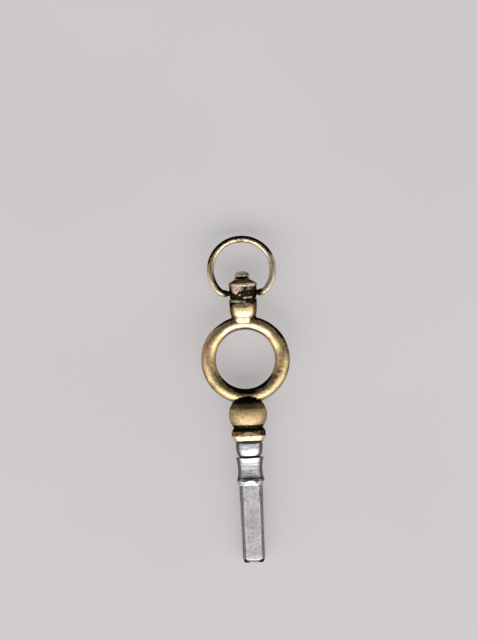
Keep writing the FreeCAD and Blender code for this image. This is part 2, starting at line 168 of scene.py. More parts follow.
def grime_bands(along, *bands):
    """Dirt left at joints along the key: each band is (place, half width)."""
    return sum(np.exp(-((along - place) / width) ** 2) for place, width in bands)


def smooth_min(a, b, width):
    """The smaller of two lengths, rounded over where they cross, and how near each place is to there."""
    share = np.clip(0.5 + 0.5 * (b - a) / width, 0, 1)
    return b + (a - b) * share - width * share * (1 - share), 4 * share * (1 - share)


def quarters(theta):
    """The angle from the middle of the nearest of four sides, and the number of that side."""
    from_corner = theta + math.pi / 4
    return from_corner % (math.pi / 2) - math.pi / 4, np.floor(from_corner / (math.pi / 2)) % 4


def all_round(count):
    """So many angles, evenly round a circle."""
    return np.arange(count) * 2 * math.pi / count


def on_axis(y):
    return np.array([0, y, 0])


def off_axis(points):
    """Distance of points from the key's axis."""
    return np.hypot(points[..., 0], points[..., 2])


def arc_points(first, last, radius, bulge, step):
    """Points on the shorter arc between two places, without the last."""
    first, last = np.array(first, float), np.array(last, float)
    chord = last - first
    length = np.linalg.norm(chord)
    side = 1 if bulge == "right" else -1
    left = np.array([-chord[1], chord[0]]) / length
    centre = (first + last) / 2 + left * math.sqrt(radius ** 2 - (length / 2) ** 2) * side
    start, stop = (math.atan2(*(p - centre)[::-1]) for p in (first, last))
    turn = (stop - start + math.pi) % (2 * math.pi) - math.pi
    count = max(2, math.ceil(abs(turn) * radius / step))
    angles = start + turn * np.arange(count) / count
    return centre + radius * np.column_stack([np.cos(angles), np.sin(angles)])


def blur_rows(values, spread):
    """Averages rows with their neighbours. The first and last rows stay."""
    reach = max(1, math.ceil(3 * spread))
    rows = np.arange(len(values))
    result = np.zeros_like(values)
    weight = 0
    for shift in range(-reach, reach + 1):
        share = math.exp(-0.5 * (shift / spread) ** 2)
        result += share * values[np.clip(rows + shift, 0, len(values) - 1)]
        weight += share
    result /= weight
    result[0], result[-1] = values[0], values[-1]
    return result


def plain_round(r, y, theta):
    return r + 0 * theta, 0 * (r + theta)


def outline_path(corners, theta, shape, step):
    """An outline in small steps at every angle, as (radius, along), and how near it is to filed edges."""
    radii, along, edges = [], [], []
    for first, corner in zip(corners, corners[1:]):
        last = corner[:2]
        if len(corner) == 4:
            points = arc_points(first[:2], last, corner[2], corner[3], step)
        else:
            count = max(1, math.ceil(math.dist(first[:2], last) / step))
            share = np.arange(count)[:, None] / count
            points = np.array(first[:2]) * (1 - share) + np.array(last) * share
        if first[1] == last[1]:
            ends = [shape(np.array([[r]]), np.array([[y]]), theta)[0] for r, y in (first[:2], last)]
            radius = ends[0] * (1 - share) + ends[1] * share
            filed = 0 * radius
        else:
            radius, filed = shape(points[:, :1], points[:, 1:], theta)
        radii.append(radius)
        along.append(np.repeat(points[:, 1:], len(theta), axis=1))
        edges.append(filed)
    r, y = corners[-1][:2]
    radius, filed = shape(np.array([[r]]), np.array([[y]]), theta)
    along = np.concatenate([*along, np.full((1, len(theta)), float(y))])
    return np.stack([np.concatenate([*radii, radius]), along], axis=-1), np.concatenate([*edges, filed])


def turned(corners, around, edge, pitch, bend=0.11, shape=plain_round, closed=False):
    """A turned form as rings of points, with worn edges.

    A corner is (radius, along), or (radius, along, arc radius, bulge) where an arc leads to it. shape gives
    each place's own radius, and how near it is to a filed edge. edge is how far corners are worn round.
    Rings lie pitch apart, and closer where the form turns by bend radians or more from one to the next.
    Returns the points, and how far each place stands out (above 0) or lies in a hollow (below 0).
    """
    step, hollow = 0.02, 0.09
    theta = all_round(around)
    path, filed = outline_path(corners, theta, shape, step)
    path = blur_rows(path, edge / step)
    heading = np.gradient(path, axis=0)
    length = np.linalg.norm(heading, axis=2)
    heading /= np.maximum(length, 1e-9)[..., None]
    middle = path[:, 0]
    area = (middle[:, 0] * np.gradient(middle[:, 1]) - middle[:, 1] * np.gradient(middle[:, 0])).sum()
    outward = np.stack([heading[..., 1], -heading[..., 0]], axis=-1) * np.sign(area)
    stands_out = ((path - blur_rows(path, hollow / step)) * outward).sum(axis=-1) / hollow
    angle = np.unwrap(np.arctan2(heading[..., 1], heading[..., 0]), axis=0)
    swing = np.abs(np.diff(angle, axis=0)).max(axis=1)
    cost = np.concatenate([[0], np.cumsum(length.mean(axis=1)[1:] / pitch + swing / bend)])
    marks = np.linspace(0, cost[-1], math.ceil(cost[-1]) + 1)
    rings = np.unique(np.searchsorted(cost, marks).clip(0, len(cost) - 1))
    if closed:
        rings = rings[:-1]
    path, filed, stands_out = path[rings], filed[rings], stands_out[rings]
    points = np.stack([path[..., 0] * np.cos(theta), path[..., 1], path[..., 0] * np.sin(theta)], axis=-1)
    return points, np.clip(stands_out * 2.2 + filed * 0.35, -1, 1)


def shrink(grid, depth):
    """Moves a turned form's points towards the key's axis by depth."""
    scale = 1 - depth / np.maximum(off_axis(grid), 0.1)
    grid[..., 0] *= scale
    grid[..., 2] *= scale


def sink(grid, depth, centre):
    """Moves a grid's points inwards by depth. Inwards is the side where the centre lies."""
    across = np.roll(grid, -1, axis=1) - np.roll(grid, 1, axis=1)
    normal = unit(np.cross(np.gradient(grid, axis=0), across))
    side = np.sign((normal * (grid - centre)).sum(axis=-1).sum())
    return grid - normal * side * depth[..., None]


def grid_faces(rows, columns, loop_rows, start_pole, end_pole):
    """Faces of a grid that is closed across its columns, and along its rows if loop_rows.

    A pole is one point more, which closes the first or the last row.
    """
    index = np.arange(rows * columns).reshape(rows, columns)
    last = rows if loop_rows else rows - 1
    here, following = index[:last], np.roll(index, -1, axis=0)[:last]
    quads = np.stack([here, np.roll(here, -1, axis=1), np.roll(following, -1, axis=1), following], axis=-1)
    faces = [tuple(quad) for quad in quads.reshape(-1, 4).tolist()]
    top = rows * columns
    if start_pole:
        ring = index[0].tolist()
        faces += [(ring[(j + 1) % columns], ring[j], top) for j in range(columns)]
        top += 1
    if end_pole:
        ring = index[-1].tolist()
        faces += [(ring[j], ring[(j + 1) % columns], top) for j in range(columns)]
    return faces


def volume_of(points, faces):
    """Signed volume by a share of the faces, to tell which way they look."""
    corners = np.array([[f[0], f[k], f[k + 1]] for f in faces[:: max(1, len(faces) // 4000)]
                        for k in range(1, len(f) - 1)])
    middle = points.mean(axis=0)
    a, b, c = (points[corners[:, k]] - middle for k in range(3))
    return np.einsum("ij,ij->", a, np.cross(b, c))


def add_object(name, data):
    added = bpy.data.objects.new(name, data)
    bpy.context.scene.collection.objects.link(added)
    return added


def paint_points(mesh, key, values):
    mesh.attributes.new(key, "FLOAT", "POINT").data.foreach_set("value", values.astype(np.float32))


def make_piece(name, points, faces, body, slot, material, node=None, **paint):
    """A piece of the key from points in millimetres. Each entry in paint is a number for every point."""
    if volume_of(points, faces) < 0:
        faces = [face[::-1] for face in faces]
    mesh = bpy.data.meshes.new(name)
    mesh.from_pydata((points * MM).tolist(), [], faces)
    mesh.shade_smooth()
    for key, values in paint.items():
        paint_points(mesh, key, values)
    mesh.materials.append(material)
    piece = add_object(name, mesh)
    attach(piece, body)
    if node:
        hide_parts(node)
    return piece


def skin(name, grid, relief, body, slot, material, node=None, loop_rows=False, poles=(), **more):
    """A piece from a grid of points, closed by two poles or along its rows.

    relief is how far each place stands out or lies in, raised more where highlights are painted.
    """
    rows, columns = grid.shape[:2]
    faces = grid_faces(rows, columns, loop_rows, bool(poles), bool(poles))
    at_poles = np.zeros(len(poles))
    paint = {key: np.append(values, at_poles) for key, values in {"relief": relief, **more}.items()}
    points = np.vstack([grid.reshape(-1, 3), *poles])
    return make_piece(name, points, faces, body, slot, material, node, **paint)


def capped_skin(name, grid, relief, *home, poles, **paint):
    """A piece from a turned form that reaches the axis. Poles take the place of its first and last rows."""
    inner = {key: values[1:-1] for key, values in paint.items()}
    skin(name, grid[1:-1], relief[1:-1], *home, poles=poles, **inner)


def ring_gap(points):
    """Distance of points from the finger ring's surface, below 0 inside it."""
    across = np.hypot(points[..., 0], points[..., 1] - RING_CENTRE) - RING_REACH
    return np.hypot(across, points[..., 2]) - RING_RADIUS


def onto_ring(points, depth=0.0):
    """The nearest places on the finger ring's surface, or depth under it."""
    flat = np.stack([points[..., 0], points[..., 1] - RING_CENTRE, 0 * points[..., 2]], axis=-1)
    core = unit(flat) * RING_REACH
    core[..., 1] += RING_CENTRE
    return core + unit(points - core) * (RING_RADIUS - depth)


def clear_of_ring(grid):
    """Points that would be inside the finger ring lie just under its surface instead."""
    inside = ring_gap(grid) < -0.05
    return np.where(inside[..., None], onto_ring(grid, 0.05), grid)


# Materials


class Recipe:
    """A material built node by node."""

    def __init__(self, name):
        self.material = bpy.data.materials.new(name)
        self.material.use_nodes = True
        self.nodes, self.links = self.material.node_tree.nodes, self.material.node_tree.links
        self.shader = self.nodes["Principled BSDF"]
        self.place = self.add("ShaderNodeTexCoord").outputs["Object"]

    def add(self, kind, **settings):
        node = self.nodes.new(kind)
        for key, value in settings.items():
            setattr(node, key, value)
        return node

    def put(self, socket, value):
        """Links a socket's output, or sets a plain number or colour."""
        if isinstance(value, bpy.types.NodeSocket):
            self.links.new(value, socket)
        elif isinstance(value, tuple) and len(value) == 3 and socket.type == "RGBA":
            socket.default_value = (*value, 1)
        else:
            socket.default_value = value

    def paint(self, name):
        return self.add("ShaderNodeAttribute", attribute_name=name).outputs["Fac"]

    def math(self, operation, a, b):
        node = self.add("ShaderNodeMath", operation=operation)
        self.put(node.inputs[0], a)
        self.put(node.inputs[1], b)
        return node.outputs[0]

    def plus(self, a, b):
        return self.math("ADD", a, b)

    def minus(self, a, b):
        return self.math("SUBTRACT", a, b)

    def times(self, a, b):
        return self.math("MULTIPLY", a, b)

    def larger(self, a, b):
        return self.math("MAXIMUM", a, b)

    def spread(self, per_mm, stretch, shift):
        """The place on the piece, scaled for a texture with so many lumps in a millimetre."""
        mapping = self.add("ShaderNodeMapping")
        self.put(mapping.inputs["Vector"], self.place)
        mapping.inputs["Location"].default_value = shift
        mapping.inputs["Scale"].default_value = tuple(per_mm * 1000 * s for s in stretch)
        return mapping.outputs[0]

    def noise(self, per_mm, stretch=(1, 1, 1), detail=4.0, rough=0.55, warp=0.0, seed=0.0):
        """Noise with so many lumps in a millimetre, each axis stretched by its own number."""
        node = self.add("ShaderNodeTexNoise")
        node.inputs["Scale"].default_value = 1.0
        node.inputs["Detail"].default_value = detail
        node.inputs["Roughness"].default_value = rough
        node.inputs["Distortion"].default_value = warp
        shift = (seed * 0.0137, seed * 0.0071, seed * 0.0193)
        self.put(node.inputs["Vector"], self.spread(per_mm, stretch, shift))
        return node.outputs["Fac"]

    def cells(self, per_mm, stretch=(1, 1, 1), seed=0.0):
        """Distance to scattered points, so many in a millimetre."""
        node = self.add("ShaderNodeTexVoronoi")
        node.inputs["Scale"].default_value = 1.0
        shift = (seed * 0.0173, seed * 0.0091, seed * 0.0117)
        self.put(node.inputs["Vector"], self.spread(per_mm, stretch, shift))
        return node.outputs["Distance"]

    def ramp(self, value, low, high, a=0.0, b=1.0):
        """Runs from a to b while value goes from low to high."""
        node = self.add("ShaderNodeMapRange", interpolation_type="SMOOTHSTEP")
        self.put(node.inputs["Value"], value)
        for key, number in (("From Min", low), ("From Max", high), ("To Min", a), ("To Max", b)):
            node.inputs[key].default_value = number
        return node.outputs["Result"]

    def mix(self, factor, a, b):
        """A colour or a grey between a, at factor 0, and b, at factor 1."""
        node = self.add("ShaderNodeMix", data_type="RGBA")
        self.put(node.inputs["Factor"], factor)
        for key, value in (("A", a), ("B", b)):
            self.put([s for s in node.inputs if s.name == key and s.type == "RGBA"][0], value)
        return [s for s in node.outputs if s.type == "RGBA"][0]

    def ragged(self, mottle, grain):
        """An uneven level, which gives the patina, soiling and painted shade their ragged borders."""
        return self.minus(self.plus(self.times(mottle, 1.3), self.times(grain, 0.7)), 1.0)

    def scratches(self, seed):
        """Fine crossing scratches, from noise drawn out along three directions."""
        total = 0.0
        for turn, stretch in enumerate(((0.3, 22, 9), (14, 0.5, 16), (8, 11, 0.4))):
            line = self.noise(1.0, stretch, detail=2.0, warp=0.6, seed=seed + turn * 3)
            total = self.plus(total, self.ramp(line, 0.66, 0.72))
        return self.math("MINIMUM", total, 1.0)

    def finish(self, colour, roughness, height, depth_mm, edge_tint):
        """Sets the metal up. edge_tint is its colour where it is seen at a slant."""
        self.put(self.shader.inputs["Base Color"], colour)
        self.put(self.shader.inputs["Roughness"], roughness)
        self.shader.inputs["Metallic"].default_value = 1.0
        self.shader.inputs["Specular Tint"].default_value = (*edge_tint, 1)
        bump = self.add("ShaderNodeBump")
        bump.inputs["Strength"].default_value = 1.0
        bump.inputs["Distance"].default_value = depth_mm * MM
        self.put(bump.inputs["Height"], height)
        self.links.new(bump.outputs[0], self.shader.inputs["Normal"])
        return self.material


def make_brass(name, bright, deep, rosy, rosy_share, spot_share, roughness, seed):
    """Old brass: worn where handled, browner elsewhere, rosy in patches, black in corners, with painted
    highlights and shade.
    """
    # Pale: worn edges and painted highlights. Brown: patina and painted shade. Near black: soiling and
    # painted shade.
    rubbed, tarnished, soiled_and_shaded = (1.0, 0.97, 0.87), (0.13, 0.09, 0.055), (0.015, 0.011, 0.007)
    m = Recipe(name)
    relief, scuffed = m.paint("relief"), m.paint("scuffed")
    broad = m.noise(0.55, detail=3.0, warp=0.4, seed=seed)
    mottle = m.noise(3.0, detail=6.0, rough=0.65, seed=seed + 1)
    grain = m.noise(7.0, detail=3.0, rough=0.7, seed=seed + 2)
    turning = m.noise(1.0, (0.4, 9, 0.4), detail=2.0, seed=seed + 3)
    ragged = m.ragged(mottle, grain)
    colour = m.mix(m.ramp(broad, 0.36, 0.68), bright, deep)
    colour = m.mix(m.times(m.ramp(mottle, 0.46, 0.72), 0.6), colour, deep)
    patch = m.noise(0.38, detail=4.0, warp=0.8, seed=seed + 4)
    patch = m.times(m.ramp(patch, 0.54, 0.66), rosy_share)
    patch = m.larger(patch, m.times(m.paint("rosy"), m.ramp(mottle, 0.2, 0.6, 1.0, 0.7)))
    colour = m.mix(patch, colour, rosy)
    # Worn edges and the painted highlights take the pale colour.
    worn = m.times(m.ramp(relief, 0.10, 0.62), m.ramp(mottle, 0.25, 0.60, 1.0, 0.35))
    colour = m.mix(m.times(worn, 0.85), colour, rubbed)
    specks = m.times(m.ramp(grain, 0.40, 0.64), m.plus(0.42, m.times(scuffed, 0.35)))
    colour = m.mix(specks, colour, tuple(c * 0.35 for c in deep))
    # Painted shade with patina and soiling: brown by the tarnish paint, near black in hollows and by the
    # grime paint.
    shade = m.ramp(m.minus(m.paint("tarnish"), ragged), 0.22, 0.80)
    colour = m.mix(m.times(shade, 0.88), colour, tarnished)
    hollow = m.larger(m.ramp(relief, -0.10, -0.60), m.paint("grime"))
    dirt_and_shade = m.ramp(m.minus(hollow, ragged), 0.24, 0.76)
    spots = m.ramp(m.noise(2.6, detail=5.0, rough=0.7, seed=seed + 5), 0.62, 0.74)
    dirt_and_shade = m.larger(dirt_and_shade, m.times(spots, spot_share))
    colour = m.mix(dirt_and_shade, colour, soiled_and_shaded)
    rough = m.plus(m.ramp(mottle, 0.3, 0.7, roughness - 0.04, roughness + 0.05), m.times(dirt_and_shade, 0.16))
    rough = m.minus(rough, m.times(worn, 0.05))
    rough = m.plus(rough, m.times(scuffed, 0.20))
    height = m.plus(m.noise(6.5, detail=2.0, rough=0.6, seed=seed + 7), m.times(mottle, 0.16))
    height = m.plus(height, m.times(turning, 0.07))
    height = m.minus(height, m.times(m.scratches(seed), 0.10))
    height = m.minus(height, m.times(dirt_and_shade, 0.08))
    return m.finish(colour, rough, height, depth_mm=0.052, edge_tint=(0.20, 0.16, 0.11))


def make_steel():
    """Old steel: flats filed bright along their length, finely pitted; brown corners, black hollows;
    painted highlights and shade.
    """
    bright, dull, drawn = (0.97, 0.94, 0.975), (0.69, 0.66, 0.70), (0.34, 0.33, 0.34)
    # rubbed is for worn edges and painted highlights; brown, tarnished and dirty are for patina, soiling
    # and painted shade.
    speck, brown, rubbed = (0.26, 0.25, 0.26), (0.14, 0.128, 0.12), (0.92, 0.91, 0.92)
    pitted, tarnished, soiled_and_shaded = (0.07, 0.06, 0.055), (0.11, 0.10, 0.095), (0.013, 0.011, 0.010)
    m = Recipe("steel_filed")
    relief, flat = m.paint("relief"), m.paint("flat")
    mottle = m.noise(3.4, (1.0, 0.7, 1.0), detail=7.0, rough=0.68, seed=2)
    grain = m.noise(7.5, (1.0, 0.8, 1.0), detail=3.0, rough=0.7, seed=5)
    streak = m.noise(1.0, (9, 0.8, 9), detail=3.0, warp=0.3, seed=8)
    turning = m.noise(1.0, (0.3, 6.5, 0.3), detail=3.0, rough=0.65, seed=11)
    lines = m.mix(flat, turning, streak)
    ragged = m.ragged(mottle, grain)
    colour = m.mix(m.ramp(mottle, 0.32, 0.70), bright, dull)
    line_share = m.minus(0.72, m.times(flat, 0.40))
    colour = m.mix(m.times(m.ramp(lines, 0.42, 0.62), line_share), colour, drawn)
    colour = m.mix(m.ramp(grain, 0.44, 0.62, 0.0, 0.42), colour, speck)
    # Brown corners between the flats: patina, and painted shade down the pipe's sides.
    corner = m.times(m.paint("corner"), m.ramp(mottle, 0.3, 0.65, 0.94, 0.72))
    colour = m.mix(corner, colour, brown)
    # Worn edges and the painted highlights take the rubbed colour.
    worn = m.times(m.ramp(relief, 0.06, 0.50), m.ramp(mottle, 0.25, 0.62, 1.0, 0.4))
    colour = m.mix(m.times(worn, 0.85), colour, rubbed)
    gate = m.ramp(m.noise(0.8, detail=3.0, seed=14), 0.42, 0.60)
    pits = m.times(m.ramp(m.cells(3.6, (1.0, 0.7, 1.0), seed=3), 0.34, 0.14), gate)
    colour = m.mix(m.times(pits, 0.60), colour, pitted)
    # Painted shade with patina and soiling, as for brass.
    shade = m.ramp(m.minus(m.paint("tarnish"), ragged), 0.22, 0.80)
    colour = m.mix(m.times(shade, 0.85), colour, tarnished)
    hollow = m.larger(m.ramp(relief, -0.08, -0.55), m.paint("grime"))
    dirt_and_shade = m.ramp(m.minus(hollow, ragged), 0.24, 0.76)
    colour = m.mix(dirt_and_shade, colour, soiled_and_shaded)
    rough = m.plus(m.ramp(grain, 0.3, 0.7, 0.28, 0.34), m.times(dirt_and_shade, 0.14))
    rough = m.minus(rough, m.times(worn, 0.05))
    rough = m.plus(rough, m.times(m.paint("scuffed"), 0.18))
    height = m.plus(m.times(mottle, 0.2), m.times(grain, 0.16))
    height = m.plus(height, m.times(lines, 0.14))
    height = m.minus(height, m.times(pits, 0.24))
    height = m.plus(height, m.noise(6.5, (1.0, 0.9, 1.0), detail=2.0, rough=0.6, seed=17))
    return m.finish(colour, rough, height, depth_mm=0.042, edge_tint=(0.40, 0.40, 0.40))


STEEL = make_steel()
BRASS = make_brass("brass_worn", bright=(0.93, 0.76, 0.40), deep=(0.74, 0.55, 0.26),
                   rosy=(0.84, 0.52, 0.37), rosy_share=0.4, spot_share=0.08, roughness=0.34, seed=20)
DARK_BRASS = make_brass("brass_grimy", bright=(0.85, 0.66, 0.42), deep=(0.42, 0.32, 0.22),
                        rosy=(0.90, 0.58, 0.45), rosy_share=0.5, spot_share=0.8, roughness=0.31, seed=40)
WIRE_BRASS = make_brass("brass_wire", bright=(0.97, 0.79, 0.52), deep=(0.80, 0.62, 0.38),
                        rosy=(0.97, 0.68, 0.48), rosy_share=0.5, spot_share=0.1, roughness=0.31, seed=60)
SOLDER = make_brass("brass_solder", bright=(0.84, 0.72, 0.46), deep=(0.60, 0.48, 0.31),
                    rosy=(0.66, 0.46, 0.32), rosy_share=0.3, spot_share=0.5, roughness=0.33, seed=80)


# Winding pipe


def pipe_shape(r, y, theta):
    """The pipe's radius all round: outside its four filed flats, inside its square socket."""
    quarter, side = quarters(theta)
    slant = np.cos(quarter)
    run_out = 0.05 * np.sin(2.3 * side + 0.7) + 0.03 * np.sin(quarter * 5 + side * 1.9)
    flat = np.interp(y - run_out, [-1, 9.86, 10.44, 10.50], [1.416, 1.53, 1.79, 6.0])
    flat = flat - 0.012 * (1 + np.sin(y * 0.9 + side * 2.1)) - 0.002 * np.sin(y * 3.7 + side)
    bevel = np.interp(y, [0, BEVEL_END], [1.18, 1.48])
    limit = np.where(y < BEVEL_END, np.minimum(flat, bevel), flat)
    outside, filed = smooth_min(r + 0 * theta, limit / slant, 0.035)
    hole = np.maximum(DRILL_RADIUS, np.minimum(SQUARE_REACH / slant, SQUARE_CORNER))
    countersink = np.interp(y, [0, COUNTERSINK_END], [MOUTH_RADIUS, DRILL_RADIUS])
    inside = np.where(y < SOCKET_END, np.maximum(hole, countersink), r + 0 * theta)
    within = (r < 1.0) & (y <= DRILL_TIP)
    return np.where(within, inside, outside), np.where(within, 0, filed)


def build_pipe():
    grid, relief = turned([
        (0, DRILL_TIP), (DRILL_RADIUS, DRILL_END), (DRILL_RADIUS, COUNTERSINK_END), (MOUTH_RADIUS, 0),
        (1.45, 0), (1.69, BEVEL_END), (1.77, RIDGE_FOOT), (1.68, COVE_FOOT, 0.80, "right"),
        (1.745, LIP_EDGE, 5.20, "left"), (1.70, GROOVE_FOOT), (GROOVE_RADIUS, GROOVE_FOOT),
        (GROOVE_RADIUS, DRUM_FOOT), (1.49, DRUM_FOOT), (DRUM_RADIUS, DRUM_MIDDLE, 3.50, "right"),
        (DRUM_RADIUS, DRUM_SHOULDER), (1.50, KNOP_FOOT, 0.50, "right"), (TANG_RADIUS, KNOP_FOOT),
        (TANG_RADIUS, TANG_END), (0, TANG_END),
    ], around=208, edge=0.022, pitch=0.085, bend=0.13, shape=pipe_shape)
    grid[..., 1] = grid[..., 1].clip(0, None)
    x, y = grid[..., 0], grid[..., 1]
    radius = off_axis(grid)
    outer = radius > 1.0
    quarter = quarters(np.arctan2(grid[..., 2], x))[0]
    flat_reach = np.interp(y, [0, 9.85], [1.40, 1.51])
    flat = (np.abs(radius * np.cos(quarter) - flat_reach) < 0.045) & (y < 10.1)
    corner = outer & ~flat & (y < RIDGE_FOOT - 0.22)
    depth = lumps(grid, 0.010, 0.9, 0.004, 0.25, seed=1) + dents(grid, 46, size=0.13, depth=0.030, seed=3)
    depth += 0.10 * near(grid, (0.62, 10.42, 1.62, 0.22)) + 0.05 * near(grid, (1.15, 8.9, 1.3, 0.25))
    shrink(grid, np.where(flat, 0.20, 1.0) * depth * outer)
    # Darker in the groove, the joints and the corners of the mouth; dark all through the socket, bore and
    # tang
    grime = grime_bands(y, (13.46, 0.13), (KNOP_FOOT, 0.10), (RIDGE_FOOT + 0.02, 0.05),
                        (COVE_FOOT + 0.06, 0.10))
    grime += np.exp(-(y / 0.42) ** 2) * np.clip(np.abs(quarter) / 0.5 - 0.55, 0, 1) * 1.6
    grime = np.clip(np.where(outer, grime * 0.95, 0.85), 0, 1)
    # Painted shade on both sides of the turned part, and darker in its cove and towards the mouth
    sides = ramp(np.abs(x) / radius.clip(0.1), 0.58, 0.86) * (y > RIDGE_FOOT + 0.3)
    cove = between(y, 11.2, 11.9, 12.45, 12.75)
    tarnish = outer * largest(0.8 * sides, 0.32 * cove, 0.32 * ramp(y, 4.5, 1.5))
    # Painted highlights: the lip, a little of the drum, and the ridge where the flats run out
    limit = np.where(y > 0.6, 0.12, 0.45)
    relief = np.where(outer & (y < FLATS_END), np.minimum(relief, limit), relief)
    rubbed = ramp(y, 12.6, 12.9) * (y < GROOVE_FOOT) + 0.2 * between(y, 13.70, 13.9, 14.3, 14.6)
    ridge = between(y, 9.78, 9.90, 10.35, 10.45) * ramp(np.abs(x + 0.15), 1.30, 1.10)
    relief = largest(relief, 0.26 * rubbed * outer, 0.6 * ridge * outer)
    scuffed = largest(between(y, 10.7, 11.2, 12.6, 13.0), ramp(y, 14.0, 14.4), 0.6 * ramp(y, 0.8, 0.5))
    capped_skin("winding_pipe", grid, relief, "handle", "steel", STEEL, "pipe",
                poles=(on_axis(DRILL_TIP), on_axis(TANG_END)), grime=grime, tarnish=tarnish,
                flat=flat.astype(float), corner=corner.astype(float), scuffed=scuffed * outer)


# Knop, finger ring and neck


def knop_shape(r, y, theta):
    """The collar's four filed flats and the bevel under them."""
    quarter, side = quarters(theta)
    flat = np.interp(y + 0.03 * np.sin(side * 2.4), [KNOP_FOOT, COLLAR_FOOT, WAIST, WAIST + 0.01],
                     [1.81, COLLAR_REACH, COLLAR_REACH, 9])
    flat = flat - 0.012 * (1 + np.sin(y * 2 + side * 1.7))
    return smooth_min(r + 0 * theta, flat / np.cos(quarter), 0.07)


def build_knop():
    grid, relief = turned([
        (0, TANG_BORE_END), (TANG_BORE_RADIUS, TANG_BORE_END), (TANG_BORE_RADIUS, KNOP_FOOT),
        (2.30, KNOP_FOOT), (COLLAR_RADIUS, COLLAR_FOOT), (COLLAR_RADIUS, COLLAR_TOP),
        (1.84, WAIST, 2.00, "left"), (BALL_RADIUS, BALL_CENTRE, BALL_RADIUS, "right"),
        (0, BALL_CENTRE + BALL_RADIUS, BALL_RADIUS, "right"),
    ], around=208, edge=0.028, pitch=0.075, shape=knop_shape)
    outer = off_axis(grid) > 0.95
    depth = lumps(grid, 0.014, 1.3, 0.004, 0.35, seed=11)
    depth += dents(grid, 34, size=0.22, depth=0.035, seed=13)
    grid = np.where(outer[..., None], sink(grid, depth, on_axis(17.8)), grid)
    x, y = grid[..., 0], grid[..., 1]
    up = (y - BALL_CENTRE) / BALL_RADIUS
    # Dirt in the waist and at the pipe, darker right of the collar, painted shade on the ball's top under
    # the ring
    right = ramp(x, 1.1, 1.7) * ramp(y, 16.05, 16.20) * (y < 17)
    grime = largest(0.8 * between(y, 16.50, 16.85, 17.38, 17.78), ramp(up, 0.34, 0.80),
                    grime_bands(y, (KNOP_FOOT, 0.13)), 0.6 * right)
    # The ball has patina all over and painted shade on its upper half; the collar is darker above its bevel
    tarnish = largest((0.9 * ramp(up, 0.0, 0.52)).clip(0.36) * (y > 17.3),
                      0.60 * ramp(y, 16.04, 16.16) * (y < 17.5))
    # Painted highlights on the collar's bevel and the left of the ball
    relief = largest(relief, 0.5 * between(y, 15.50, 15.60, 16.02, 16.12),
                     0.55 * near(grid, (-2.1, 18.4, 1.1, 0.55)))
    rosy = near(grid, (0, 17.8, 2.2, 0.95), (-2.2, 18.2, 0.9, 0.8), (2.1, 18.0, 1.1, 0.8),
                (0.3, 17.7, -2.2, 0.9))
    capped_skin("ball_and_collar", clear_of_ring(grid), relief, "handle", "brass", BRASS, "knop",
                poles=(on_axis(TANG_BORE_END), onto_ring(on_axis(21.0), 0.05)),
                grime=np.clip(grime, 0, 1), rosy=rosy, tarnish=tarnish,
                scuffed=0.7 * ramp(y, 17.3, 18.0))


